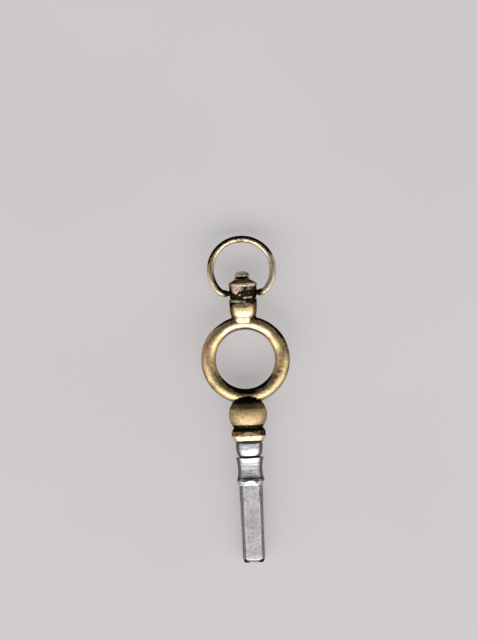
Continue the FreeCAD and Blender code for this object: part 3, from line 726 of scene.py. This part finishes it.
def build_finger_ring():
    """The ring by two angles: a runs round the ring, and b round its section from the outside."""
    around, across = 560, 104
    a, b = np.meshgrid(all_round(around), all_round(across), indexing="ij")
    reach = RING_REACH + RING_RADIUS * np.cos(b)
    core = np.stack([RING_REACH * np.cos(a), RING_CENTRE + RING_REACH * np.sin(a), 0 * a], axis=-1)
    grid = np.stack([reach * np.cos(a), RING_CENTRE + reach * np.sin(a), RING_RADIUS * np.sin(b)], axis=-1)
    up = np.cos(b) * np.sin(a)
    depth = lumps(grid, 0.012, 1.6, 0.004, 0.4, seed=21) + dents(grid, 60, size=0.25, depth=0.030, seed=23)
    depth += 0.09 * ramp(up, 0.45, 0.95) * ramp(grid[..., 1], RING_CENTRE, RING_CENTRE + 2)
    grid = grid + (core - grid) * (depth / RING_RADIUS)[..., None]
    x, y = grid[..., 0], grid[..., 1]
    above = ramp(y, RING_CENTRE + 2.2, RING_CENTRE + 3.4)
    beneath = ramp(y, RING_CENTRE + 1, RING_CENTRE - 2)
    # Darker at the ball joint and on the inside; painted shadow beside the neck; painted shade inside the
    # lower half
    from_ball = np.linalg.norm(grid - on_axis(BALL_CENTRE), axis=-1) - BALL_RADIUS
    at_ball = 0.8 * np.exp(-(np.clip(from_ball, 0, None) / 0.18) ** 2)
    from_neck = np.maximum(off_axis(grid) - 1.1, NECK_FOOT - 0.05 - y)
    at_neck = np.exp(-(np.clip(from_neck, 0, None) / 0.16) ** 2) * np.clip(np.abs(x) - 0.4, 0, 0.6) / 0.6
    inner = np.clip(-np.cos(b) - 0.70, 0, 1) * 0.4 * (0.6 + 0.4 * field(grid, 1.1, 24))
    bottom = ramp(up, 0.05, 0.50) * np.exp(-(x / 1.7) ** 4) * (y < 23)
    # Painted shade facing away from the pipe: outside the upper half, inside the lower half, with darker
    # rims
    upper = ramp(np.sin(a) + 0.3 * np.cos(a), 0.05, 1.05)
    shaded = np.where(np.sin(a) > 0, upper, ramp(-np.sin(a), 0.15, 0.95))
    rest = 1.05 * ramp(np.cos(b) * np.sign(np.sin(a)), 0.36, 0.80) * shaded
    inner_rim = 0.95 * np.exp(-((np.cos(b) + 0.80) / 0.07) ** 2) * above
    outer_rim = 1.1 * ramp(np.cos(b), 0.88, 0.96) * beneath
    grime = np.clip(largest(at_ball, at_neck, inner, bottom, rest, inner_rim, outer_rim), 0, 1.25)
    # Painted shade facing away from the pipe, lighter painted shade facing towards it, patina in two
    # patches
    tarnish = largest(ramp(up, 0.45, 0.90), (0.34 + 0.12 * beneath) * ramp(up, -0.62, -0.20),
                      0.62 * near(grid, (4.9, 26.4, 0.8, 1.8), (-4.3, 22.6, 0.8, 1.2)))
    rosy = near(grid, (-5.0, 26.9, 0.8, 1.3), (-4.9, 24.1, 0.7, 0.7), (4.3, 26.2, 0.8, 0.7),
                (3.0, 29.4, -0.8, 1.5))
    # Painted highlights inside the top of the ring and outside its lower half
    relief = 0.1 * field(grid, 0.8, 25) + 0.8 * ramp(y, 28.2, 29.6) * ramp(up, 0.1, -0.3)
    relief += 0.45 * beneath * ramp(up, -0.35, -0.60)
    skin("finger_ring_worn", grid, relief, "handle", "brass", BRASS, "finger_ring", loop_rows=True,
         grime=grime, rosy=rosy, tarnish=tarnish)


def meets_ring(low, high, surface):
    """Where a surface enters the finger ring, between low, which lies inside the ring, and high outside."""
    for _ in range(40):
        middle = (low + high) / 2
        inside = ring_gap(surface(middle)) < 0
        low, high = np.where(inside, middle, low), np.where(inside, high, middle)
    return low


def fillet(name, seam, on_first, on_second, width, full, dirt_and_shade, seed):
    """Solder drawn into a seam, which is given by points all round.

    on_first and on_second give places on the two surfaces, so far from the seam. full is how far the solder
    fills the seam, from hollow at 0 to straight across at 1. Its borders dip under the surfaces.
    """
    steps = 9
    wander = width * (1 + 0.22 * field(seam, 1.1, seed) + 0.10 * field(seam, 0.35, seed + 1))
    first, last = on_first(wander), on_second(wander)
    middle = (first + last) / 2
    out = unit(middle - seam)
    rows = []
    for t in np.linspace(0, 1, steps):
        curve = (1 - t) ** 2 * first + 2 * t * (1 - t) * (seam + (middle - seam) * full) + t * t * last
        rows.append(curve + out * (0.045 * math.sin(math.pi * t) - 0.015))
    rows.append(seam - out * 0.06)
    grid = np.stack(rows, axis=1)
    glints = ramp(field(grid, 0.22, seed + 3), 0.8, 1.5)
    grime = np.clip(dirt_and_shade + 0.25 * field(grid, 0.6, seed + 2) - glints, 0, 1)
    skin(name, grid, 0 * grime, "handle", "brass", SOLDER, loop_rows=True, grime=grime,
         tarnish=0.5 * grime)


def build_ball_solder():
    phi = all_round(360)
    centre = on_axis(BALL_CENTRE)

    def on_ball(angle):
        return centre + BALL_RADIUS * np.stack(
            [np.sin(angle) * np.cos(phi), np.cos(angle), np.sin(angle) * np.sin(phi)], axis=-1)

    border = meets_ring(0 * phi, 0 * phi + math.pi / 2, on_ball)
    seam = on_ball(border)

    def along_ball(width):
        return on_ball(border + width / BALL_RADIUS)

    def along_ring(width):
        normal = (seam - centre) / BALL_RADIUS
        return onto_ring(seam + normal * width[:, None] * 1.1)

    fillet("ring_to_ball_solder", seam, along_ball, along_ring, width=0.13, full=0, dirt_and_shade=0.85,
           seed=31)


def build_neck():
    grid, relief = turned([
        (0, PIN_BORE_END), (PIN_BORE_RADIUS, PIN_BORE_END), (PIN_BORE_RADIUS, NECK_TOP), (1.76, NECK_TOP),
        (NECK_BODY_RADIUS, NECK_BODY), (NECK_FLARE_RADIUS, NECK_FLARE, NECK_FLARE_ARC, "left"),
        (NECK_FOOT_RADIUS, NECK_FOOT, NECK_FOOT_ARC, "left"), (0, NECK_FOOT),
    ], around=160, edge=0.028, pitch=0.07)
    outer = off_axis(grid) > 0.6
    depth = 0.012 * (1 + field(grid, 0.9, 41)) + dents(grid, 16, size=0.18, depth=0.03, seed=42)
    shrink(grid, depth * (outer & (grid[..., 1] > NECK_FOOT + 0.02)))
    x, y = grid[..., 0], grid[..., 1]
    # Dark at the washer joint, painted shade on the left, jagged darkening near the top, painted shadow
    # beside the foot
    grime = 0.8 * grime_bands(y, (NECK_TOP, 0.22)) + 0.5 * ramp(-x, 1.25, 1.55)
    grime += 0.15 * field(grid, 0.5, 43) + 0.5 * ramp(y, 32.2, 32.9) * ramp(field(grid, 0.22, 44), 0.2, 0.9)
    grime += 0.8 * near(grid, (-1.1, 31.0, 0.6, 0.3), (1.2, 31.1, 0.6, 0.35))
    # Painted shade on both sides, patina at the top
    tarnish = largest(ramp(-x, 1.10, 1.40), 0.75 * ramp(x, 1.05, 1.35), 0.9 * ramp(y, 32.10, 32.70))
    # Painted highlight low on the front
    relief = largest(relief, 0.6 * ramp(y, 32.1, 31.6) * ramp(np.abs(x), 1.2, 0.9))
    rosy = near(grid, (1.6, 31.9, 0.7, 0.55), (-0.5, 32.9, 1.7, 0.45))
    capped_skin("neck_vase", clear_of_ring(grid), relief, "handle", "brass", BRASS, "neck",
                poles=(on_axis(PIN_BORE_END), onto_ring(on_axis(31.2), 0.05)),
                grime=np.clip(grime, 0, 1), rosy=rosy, tarnish=tarnish)


def neck_radius(y):
    """The neck's own radius at a height, by its two arcs."""
    foot, flare = (NECK_FOOT_RADIUS, NECK_FOOT), (NECK_FLARE_RADIUS, NECK_FLARE)
    line = np.vstack([arc_points(foot, flare, NECK_FOOT_ARC, "right", 0.01),
                      arc_points(flare, (NECK_BODY_RADIUS, NECK_BODY), NECK_FLARE_ARC, "right", 0.01)])
    return np.interp(y, line[:, 1], line[:, 0])


def build_neck_solder():
    phi = all_round(300)

    def on_neck(y):
        r = neck_radius(y)
        return np.stack([r * np.cos(phi), y, r * np.sin(phi)], axis=-1)

    border = meets_ring(0 * phi + NECK_FOOT, 0 * phi + 31.6, on_neck)
    edge = on_neck(border)
    seam = np.where((ring_gap(edge) > 0.01)[:, None], onto_ring(edge), edge)

    def along_neck(width):
        return on_neck(border + width * 0.7)

    def along_ring(width):
        outward = np.stack([np.cos(phi), -0.9 + 0 * phi, np.sin(phi)], axis=-1)
        return onto_ring(seam + outward * width[:, None])

    width = 0.12 + 0.66 * np.sin(phi) ** 4
    side = np.cos(phi)[:, None]
    # Painted shadow at both sides of the neck, over a little darkening all round
    dirt_and_shade = 0.08 + np.maximum(0.85 * ramp(side, 0.35, 0.80), 0.65 * ramp(-side, 0.45, 0.95))
    fillet("ring_to_neck_solder", seam, along_neck, along_ring, width, full=0.6, dirt_and_shade=dirt_and_shade, seed=35)


# Swivel


def build_washer(name, node, foot, top, width, seed, lump, dirt_and_shade):
    """A thin hand-made washer, never quite round. dirt is how dark it is on its left and on its right."""
    reach, rounding = width / 2, 0.06
    inner = reach - rounding
    grid, relief = turned([
        (RUNNING_BORE, foot), (inner, foot), (reach, foot + rounding, rounding, "right"),
        (reach, top - rounding), (inner, top, rounding, "right"), (RUNNING_BORE, top), (RUNNING_BORE, foot),
    ], around=144, edge=0.02, pitch=0.07, closed=True)
    outer = off_axis(grid) > reach * 0.7
    shrink(grid, lump * (1 + field(grid, 0.7, seed)) * outer)
    share = ramp(grid[..., 0], 0.0, 0.5)
    grime = np.clip(dirt_and_shade[0] * (1 - share) + dirt_and_shade[1] * share + 0.2 * field(grid, 0.5, seed + 1), 0, 1)
    skin(name, grid, relief, "handle", "dark_brass", DARK_BRASS, node, loop_rows=True, grime=grime,
         tarnish=0 * grime + 0.6)


def drill_cross_hole(barrel, side):
    """Cuts the hole for one end of the pendant ring out of the barrel."""
    count, start, end = 64, 1.0, 2.2
    angles = all_round(count)
    up, out = CROSS_HOLE_RADIUS * np.cos(angles), CROSS_HOLE_RADIUS * np.sin(angles)
    rows = [np.stack([0 * angles + side * x, PIVOT + up, out], axis=-1) for x in (start, 1.5, end)]
    points = np.vstack([*rows, [[side * start, PIVOT, 0], [side * end, PIVOT, 0]]])
    clean, soiled_and_shaded = np.zeros(len(points)), np.ones(len(points))
    drill = make_piece("drill", points, grid_faces(len(rows), count, False, True, True), "swivel",
                       "dark_brass", DARK_BRASS, relief=clean, grime=soiled_and_shaded, rosy=clean, tarnish=soiled_and_shaded)
    cut = barrel.modifiers.new("cross_hole", "BOOLEAN")
    cut.operation, cut.solver, cut.object = "DIFFERENCE", "EXACT", drill
    bpy.context.view_layer.update()
    holed = bpy.data.meshes.new_from_object(barrel.evaluated_get(bpy.context.evaluated_depsgraph_get()))
    barrel.modifiers.clear()
    barrel.data = holed
    bpy.data.objects.remove(drill)


def build_barrel():
    grid, relief = turned([
        (RUNNING_BORE, BARREL_FOOT), (1.67, BARREL_FOOT), (BARREL_RADIUS, 34.3525),
        (BARREL_RADIUS, RIM_FOOT), (RIM_RADIUS, RIM_FOOT), (RIM_RADIUS, RIM_TOP), (1.78, CONE_FOOT),
        (1.00, BARREL_TOP), (RUNNING_BORE, BARREL_TOP), (RUNNING_BORE, BARREL_FOOT),
    ], around=176, edge=0.03, pitch=0.07, closed=True)
    depth = lumps(grid, 0.024, 0.8, 0.008, 0.25, seed=51)
    depth += dents(grid, 40, size=0.20, depth=0.055, seed=53) + 0.20 * near(grid, (-1.9, 34.9, 0.3, 1.0))
    shrink(grid, depth * (off_axis(grid) > 0.9))
    x, y = grid[..., 0], grid[..., 1]
    # front is x on the side that the camera sees, and the same turned half round at the back
    front = np.sign(grid[..., 2]) * x
    under_rim = ramp(y, 35.20, 35.05)
    low = 34.15 + 0.40 * ramp(front, -0.9, 0.3)
    blotches = field(grid, 0.42, 54) + 0.6 * field(grid, 0.20, 55)
    # Painted highlight along the rim
    relief = largest(relief, 0.9 * between(y, 35.16, 35.22, 35.42, 35.48))
    # Dark below a slanting line and under the rim at the right front, dark at both edges, painted shade on
    # the cone
    grime = largest(
        1.1 * ramp(y, low + 0.35, low - 0.10), (0.46 * ramp(front, -0.6, 0.1) + 0.05) * under_rim,
        ramp(-x, 1.30, 1.50) * ramp(y, 35.10, 34.85), 0.60 * ramp(x, 1.5, 1.7) * ramp(y, 35.40, 35.20),
        0.34 * ramp(y, 35.46, 35.58))
    grime += 0.26 * blotches * (0.4 + 0.6 * under_rim)
    # Brass shows through in a strip and some spots, and the cross holes have dark rings round them.
    strip = ramp(np.abs(y - 33.68), 0.15, 0.05) * between(front, -0.05, 0.1, 1.10, 1.30)
    spots = near(grid, (-1.38, 33.87, 1.12, 0.16), (-0.37, 34.02, 1.75, 0.12), (-0.9, 34.35, 1.6, 0.16),
                 (0.85, 34.25, 1.66, 0.11), (0.9, 34.9, 1.65, 0.14))
    grime -= 1.3 * strip + 1.3 * spots
    grime = largest(grime, np.exp(-(np.hypot(y - PIVOT, grid[..., 2]) / 0.55) ** 4) * (np.abs(x) > 1))
    # Painted shade on the cone, and darker under the rim
    tarnish = largest(ramp(y, 35.46, 35.58), 0.6 * under_rim * ramp(front + (34.8 - y), -0.6, 0.1))
    rosy = near(grid, (-1.15, 34.90, 1.45, 0.50), (-0.55, 34.95, 1.77, 0.45), (0.9, 34.8, -1.4, 0.8))
    barrel = skin("swivel_barrel_worn", grid, relief, "swivel", "dark_brass", DARK_BRASS, "swivel_barrel",
                  loop_rows=True, grime=np.clip(grime, 0, 1), rosy=rosy, tarnish=tarnish)
    for side in (-1, 1):
        drill_cross_hole(barrel, side)
    barrel.data.shade_smooth()
    barrel.data.set_sharp_from_angle(angle=math.radians(50))


def build_pin():
    grid, relief = turned([
        (0, PIN_END), (PIN_RADIUS, PIN_END), (PIN_RADIUS, BUTTON_FOOT), (0.63, BUTTON_FOOT),
        (BUTTON_RADIUS, 36.4025), (BUTTON_RADIUS, 36.5025), (0.25, BUTTON_TOP, 0.72, "right"),
        (0, BUTTON_TOP),
    ], around=144, edge=0.03, pitch=0.06)
    head = grid[..., 1] > BUTTON_FOOT + 0.03
    depth = 0.018 * (1 + field(grid, 0.45, 61)) + dents(grid, 14, size=0.16, depth=0.05, seed=62)
    shrink(grid, depth * head * (off_axis(grid) > 0.3))
    x = grid[..., 0]
    # Dark at the joint under the head and towards its right, with a clean place on its left
    grime = grime_bands(grid[..., 1], (BUTTON_FOOT, 0.10)) + 0.45 * ramp(x, 0.25, 0.75)
    grime += 0.22 * field(grid, 0.40, 63) - 0.9 * near(grid, (-0.40, 36.45, 0.75, 0.50))
    # Painted highlight over the left of the head
    relief = largest(relief, 0.6 * ramp(x, 0.5, 0.1) * head)
    capped_skin("swivel_pin_head", grid, relief, "handle", "dark_brass", DARK_BRASS, "swivel_pin",
                poles=(on_axis(PIN_END), on_axis(BUTTON_TOP)), grime=np.clip(grime, 0, 1),
                rosy=0 * grime + 0.4, tarnish=0 * grime + 0.12)


# Pendant ring


def pendant_line():
    """Half of the pendant ring's middle line as (x, up from the pivot), and the wire's radius along it.

    It starts at a turned end in the barrel, goes round a tight bend and ends at the top of the round.
    """
    bend, reach, straight = 1.25, 3.97, 2.10
    rise = bend + math.sqrt((reach - bend) ** 2 - straight ** 2)
    meeting = math.atan2(bend - rise, straight)
    end = np.concatenate([np.linspace(1.08, 1.95, 14), np.linspace(1.98, 2.04, 7), [2.07]])
    tight = np.linspace(-math.pi / 2, meeting, 46)
    wide = np.linspace(meeting, math.pi / 2, 190)[1:]
    half = np.vstack([
        np.column_stack([end, 0 * end]),
        np.column_stack([straight + bend * np.cos(tight), bend + bend * np.sin(tight)]),
        np.column_stack([reach * np.cos(wide), rise + reach * np.sin(wide)])])
    width = np.full(len(half), WIRE_RADIUS)
    width[:len(end)] = np.interp(end, [1.99, 2.03], [WIRE_END_RADIUS, WIRE_RADIUS])
    return half, width


def build_pendant():
    """Bent wire, laid out upright over its pivot and then turned down by its droop."""
    half, width = pendant_line()
    line = np.vstack([half, (half * [-1, 1])[-2::-1]])
    width = np.concatenate([width, width[-2::-1]])
    heading = unit(np.gradient(line, axis=0))
    angles = all_round(52)
    inward = np.column_stack([-heading[:, 1], heading[:, 0], 0 * width])
    core = np.column_stack([line, 0 * width])[:, None]
    aside = np.cos(angles)[None, :, None] * inward[:, None]
    forward = np.sin(angles)[None, :, None] * np.array([0, 0, 1.0])
    grid = core + width[:, None, None] * (aside + forward)
    depth = lumps(grid, 0.006, 0.9, 0.003, 0.3, seed=71) + dents(grid, 40, size=0.16, depth=0.022, seed=73)
    rubbed = np.exp(-((grid[..., 0] + 1.9) / 0.8) ** 2) * (grid[..., 1] > 4)
    depth += 0.03 * rubbed * np.clip(np.cos(angles), 0, 1) ** 2
    grid = grid + (core - grid) * (depth / WIRE_RADIUS)[..., None]
    x, y = grid[..., 0], grid[..., 1]
    from_end = np.abs(x) + np.abs(y) * 0.9
    up = np.cos(angles) * inward[:, 1:2]
    scuffed_right = ramp(x, 2.0, 3.0) * ramp(y, 5.2, 4.2)
    kept = 1 - 0.95 * scuffed_right
    # Dark at the ends in the barrel; painted shade on the side facing away from the pipe, except low on the
    # right
    grime = largest(ramp(from_end, 2.8, 2.2), ramp(up, -0.10, 0.35) * kept, 0.2 * field(grid, 1.4, 74))
    # Painted shade on the same side, patina at the ends, darker at the top
    tarnish = largest(ramp(up, -0.05, 0.40) * kept, ramp(from_end, 3.0, 2.4), 0.44 * ramp(y, 5.6, 6.6))
    # Painted highlight down the right side
    relief = 0.1 * field(grid, 0.6, 75) + 0.6 * ramp(x, 2.4, 3.2)
    rosy = 0.5 * near(grid, (3.7, 3.4, 0.3, 1.3), (3.3, 1.6, 0.3, 1.2), (-3.4, 1.6, -0.3, 1.4))
    droop = np.array(Matrix.Rotation(-RING_DROOP, 3, "X")).T
    poles = [np.array([*end, 0]) @ droop + on_axis(PIVOT) for end in (line[0], line[-1])]
    skin("pendant_ring_wire", grid @ droop + on_axis(PIVOT), relief, "pendant", "ring_brass",
         WIRE_BRASS, "pendant_ring", poles=poles, grime=np.clip(grime, 0, 1), rosy=rosy,
         tarnish=tarnish, scuffed=np.maximum(scuffed_right, 0.5 * ramp(x, -2.6, -3.4)))


build_pipe()
build_knop()
build_finger_ring()
build_ball_solder()
build_neck()
build_neck_solder()
build_washer("washer_under_barrel", "swivel_washer", NECK_TOP, WASHER_TOP, width=3.56, seed=81, lump=0.03,
             dirt_and_shade=(0.15, 0.85))
build_barrel()
build_washer("washer_under_button", "rivet_washer", RIVET_WASHER_FOOT, BUTTON_FOOT, width=1.90, seed=85,
             lump=0.02, dirt_and_shade=(0.7, 0.9))
build_pin()
build_pendant()


# Floor, light and camera. The key lies on its ball, LIE from level, and ROLL is its turn in the picture.

LIE = math.radians(-2.0)
UP = Vector((0, -math.sin(LIE), math.cos(LIE)))
FORWARD = (0, math.cos(LIE), math.sin(LIE))
FLOOR_POINT = (Vector((0, BALL_CENTRE, 0)) - UP * BALL_RADIUS) * MM
LOOK_AT = Vector((-0.67, 30.83, 0)) * MM
LIGHT_AT = Vector((0, 24, 0)) * MM
ROLL = math.radians(2.50)
FRAME_HIGH = 81.28 * MM
CAMERA_AWAY = 0.60
SENSOR_WIDTH = 36
ROOM_LIGHT = 0.07
FLOOR_COLOUR = (0.640, 0.615, 0.622)


def floor_material():
    """Part of the floor's brightness is its own, so that shadows stay light, and far away all of it is."""
    m = Recipe("floor_pale")
    cloud = m.noise(0.03, detail=2.0, seed=90)
    colour = m.mix(m.ramp(cloud, 0.3, 0.7), FLOOR_COLOUR, tuple(c * 0.97 for c in FLOOR_COLOUR))
    matt = m.add("ShaderNodeBsdfDiffuse")
    glow = m.add("ShaderNodeEmission")
    m.put(matt.inputs["Color"], colour)
    m.put(glow.inputs["Color"], colour)
    rays = m.add("ShaderNodeLightPath").outputs
    seen = m.larger(m.larger(rays["Is Camera Ray"], rays["Is Glossy Ray"]), rays["Is Transmission Ray"])
    blend = m.add("ShaderNodeMixShader")
    m.put(blend.inputs[0], m.times(seen, m.ramp(m.paint("afar"), 0.0, 1.0, 0.50, 1.0)))
    m.links.new(matt.outputs[0], blend.inputs[1])
    m.links.new(glow.outputs[0], blend.inputs[2])
    m.links.new(blend.outputs[0], m.nodes["Material Output"].inputs["Surface"])
    return m.material


def build_floor():
    """A plain pale floor that curves up far away all round. Its sizes are in metres."""
    count, flat, bend = 96, 1.25, 0.15
    turn = np.linspace(0, math.pi / 2, 13)[1:]
    reach = np.concatenate([[0.02, 0.10, 0.20, 0.35, 0.55, 0.80, flat], flat + bend * np.sin(turn)])
    height = np.concatenate([np.zeros(7), bend - bend * np.cos(turn)])
    angles = all_round(count)
    points = (np.array(FLOOR_POINT) + np.multiply.outer(np.outer(reach, np.cos(angles)), [1.0, 0, 0])
              + np.multiply.outer(np.outer(reach, np.sin(angles)), FORWARD)
              + np.multiply.outer(np.repeat(height[:, None], count, axis=1), np.array(UP)))
    mesh = bpy.data.meshes.new("floor")
    faces = grid_faces(len(reach), count, False, True, False)
    mesh.from_pydata(np.vstack([points.reshape(-1, 3), np.array(FLOOR_POINT)]).tolist(), [], faces)
    mesh.shade_smooth()
    paint_points(mesh, "afar", np.append(np.repeat(ramp(reach, 0.10, 0.80), count), 0))
    mesh.materials.append(floor_material())
    floor = add_object("floor", mesh)


def build_light(name, heading, away, width, height, power):
    """A soft box, so many metres away, that looks at the key from a heading."""
    data = bpy.data.lights.new(name, "AREA")
    data.shape, data.size, data.size_y, data.energy = "RECTANGLE", width, height, power
    lamp = add_object(name, data)
    direction = Vector(heading).normalized()
    lamp.location = LIGHT_AT + direction * away
    lamp.rotation_mode = "QUATERNION"
    lamp.rotation_quaternion = (-direction).to_track_quat("-Z", "Y")
    lamp.visible_camera = False


def build_camera():
    data = bpy.data.cameras.new("camera")
    data.sensor_width = SENSOR_WIDTH
    data.lens = SENSOR_WIDTH * CAMERA_AWAY / FRAME_HIGH
    data.clip_start, data.clip_end = 0.01, 10
    camera = add_object("camera", data)
    top = Vector(FORWARD) * math.cos(ROLL) + Vector((1, 0, 0)) * math.sin(ROLL)
    matrix = Matrix((top.cross(UP), top, UP)).transposed().to_4x4()
    matrix.translation = LOOK_AT + UP * CAMERA_AWAY
    camera.matrix_world = matrix
    bpy.context.scene.camera = camera


world = bpy.data.worlds.new("room")
world.use_nodes = True
backdrop = world.node_tree.nodes["Background"].inputs
backdrop["Color"].default_value = (1, 1, 1, 1)
backdrop["Strength"].default_value = ROOM_LIGHT
bpy.context.scene.world = world
build_floor()
build_light("long_soft_box", heading=(0, -0.9, 1), away=1.00, width=8.00, height=0.80, power=68.0)
build_camera()
bpy.context.scene.view_settings.view_transform = "Standard"
